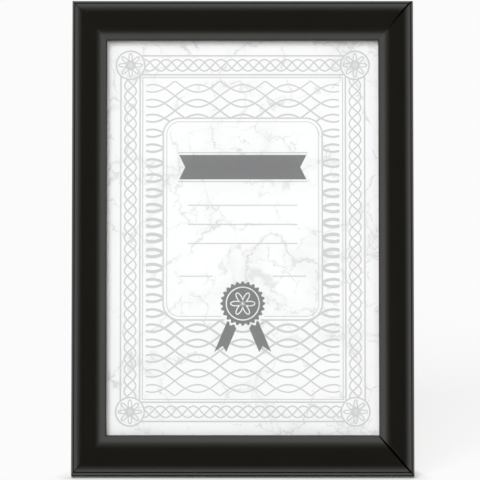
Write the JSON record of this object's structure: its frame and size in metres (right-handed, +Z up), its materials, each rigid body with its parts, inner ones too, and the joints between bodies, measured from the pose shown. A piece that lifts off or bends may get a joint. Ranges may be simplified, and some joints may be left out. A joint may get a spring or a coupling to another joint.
{
  "type": "certificate frame",
  "caption": "Mitred cushion-moulding frame that holds an A4 sheet behind clear glazing and stands on a hinged back strut or hangs from a ring.",
  "frame": {"origin": "middle of the lower rear edge that the frame stands on", "axes": "+Z up, +X to the right of someone who looks at the front, -Y out of the front"},
  "size_m": [0.249, 0.1082, 0.3392],
  "materials": {
    "moulding": "satin black",
    "glazing": "clear",
    "paper": "matt white with a grey print",
    "fibreboard": "bare fibre board",
    "steel": "zinc plated",
    "brass_plate": "brass plated"
  },
  "bodies": {
    "frame": {"top_rail": "moulding", "bottom_rail": "moulding", "left_rail": "moulding", "right_rail": "moulding", "corner_v_nails": "steel", "glazing": "glazing", "certificate_sheet": "paper", "backing_board": "fibreboard", "turn_button_screws": "steel", "hinge_board_leaf": "steel", "hinge_pin": "steel", "hinge_board_rivets": "steel", "portrait_hanger_strap": "brass_plate", "landscape_hanger_strap": "brass_plate", "hanger_rivets": "brass_plate"},
    "strut": {"strut": "fibreboard", "hinge_strut_leaf": "steel", "hinge_strut_rivets": "steel"},
    "turn_button_left_upper": {"turn_button_left_upper": "steel"},
    "turn_button_left_lower": {"turn_button_left_lower": "steel"},
    "turn_button_right_upper": {"turn_button_right_upper": "steel"},
    "turn_button_right_lower": {"turn_button_right_lower": "steel"},
    "turn_button_top_left": {"turn_button_top_left": "steel"},
    "turn_button_top_right": {"turn_button_top_right": "steel"},
    "turn_button_bottom_left": {"turn_button_bottom_left": "steel"},
    "turn_button_bottom_right": {"turn_button_bottom_right": "steel"},
    "portrait_hanger_ring": {"portrait_hanger_ring": "brass_plate"},
    "landscape_hanger_ring": {"landscape_hanger_ring": "brass_plate"}
  },
  "joints": [
    {"name": "strut_fold", "type": "hinge", "parent": "frame", "child": "strut", "pos_m": [0, 0.05666, 0.21879], "axis": [1, 0, 0], "range_deg": [-24, 0]},
    {"name": "turn_button_left_upper_swivel", "type": "hinge", "parent": "frame", "child": "turn_button_left_upper", "pos_m": [-0.113, 0.06268, 0.25099], "axis": [0, 0.9703, -0.2419], "continuous": true},
    {"name": "turn_button_left_lower_swivel", "type": "hinge", "parent": "frame", "child": "turn_button_left_lower", "pos_m": [-0.113, 0.02156, 0.08604], "axis": [0, 0.9703, -0.2419], "continuous": true},
    {"name": "turn_button_right_upper_swivel", "type": "hinge", "parent": "frame", "child": "turn_button_right_upper", "pos_m": [0.113, 0.06268, 0.25099], "axis": [0, 0.9703, -0.2419], "continuous": true},
    {"name": "turn_button_right_lower_swivel", "type": "hinge", "parent": "frame", "child": "turn_button_right_lower", "pos_m": [0.113, 0.02156, 0.08604], "axis": [0, 0.9703, -0.2419], "continuous": true},
    {"name": "turn_button_top_left_swivel", "type": "hinge", "parent": "frame", "child": "turn_button_top_left", "pos_m": [-0.072, 0.07998, 0.32037], "axis": [0, 0.9703, -0.2419], "continuous": true},
    {"name": "turn_button_top_right_swivel", "type": "hinge", "parent": "frame", "child": "turn_button_top_right", "pos_m": [0.072, 0.07998, 0.32037], "axis": [0, 0.9703, -0.2419], "continuous": true},
    {"name": "turn_button_bottom_left_swivel", "type": "hinge", "parent": "frame", "child": "turn_button_bottom_left", "pos_m": [-0.072, 0.00426, 0.01666], "axis": [0, 0.9703, -0.2419], "continuous": true},
    {"name": "turn_button_bottom_right_swivel", "type": "hinge", "parent": "frame", "child": "turn_button_bottom_right", "pos_m": [0.072, 0.00426, 0.01666], "axis": [0, 0.9703, -0.2419], "continuous": true},
    {"name": "portrait_ring_swing", "type": "hinge", "parent": "frame", "child": "portrait_hanger_ring", "pos_m": [0, 0.0735, 0.28797], "axis": [1, 0, 0], "range_deg": [-14, 166]},
    {"name": "landscape_ring_swing", "type": "hinge", "parent": "frame", "child": "landscape_hanger_ring", "pos_m": [0.082, 0.04362, 0.16814], "axis": [0, 0.2419, 0.9703], "range_deg": [0, 180]}
  ]
}
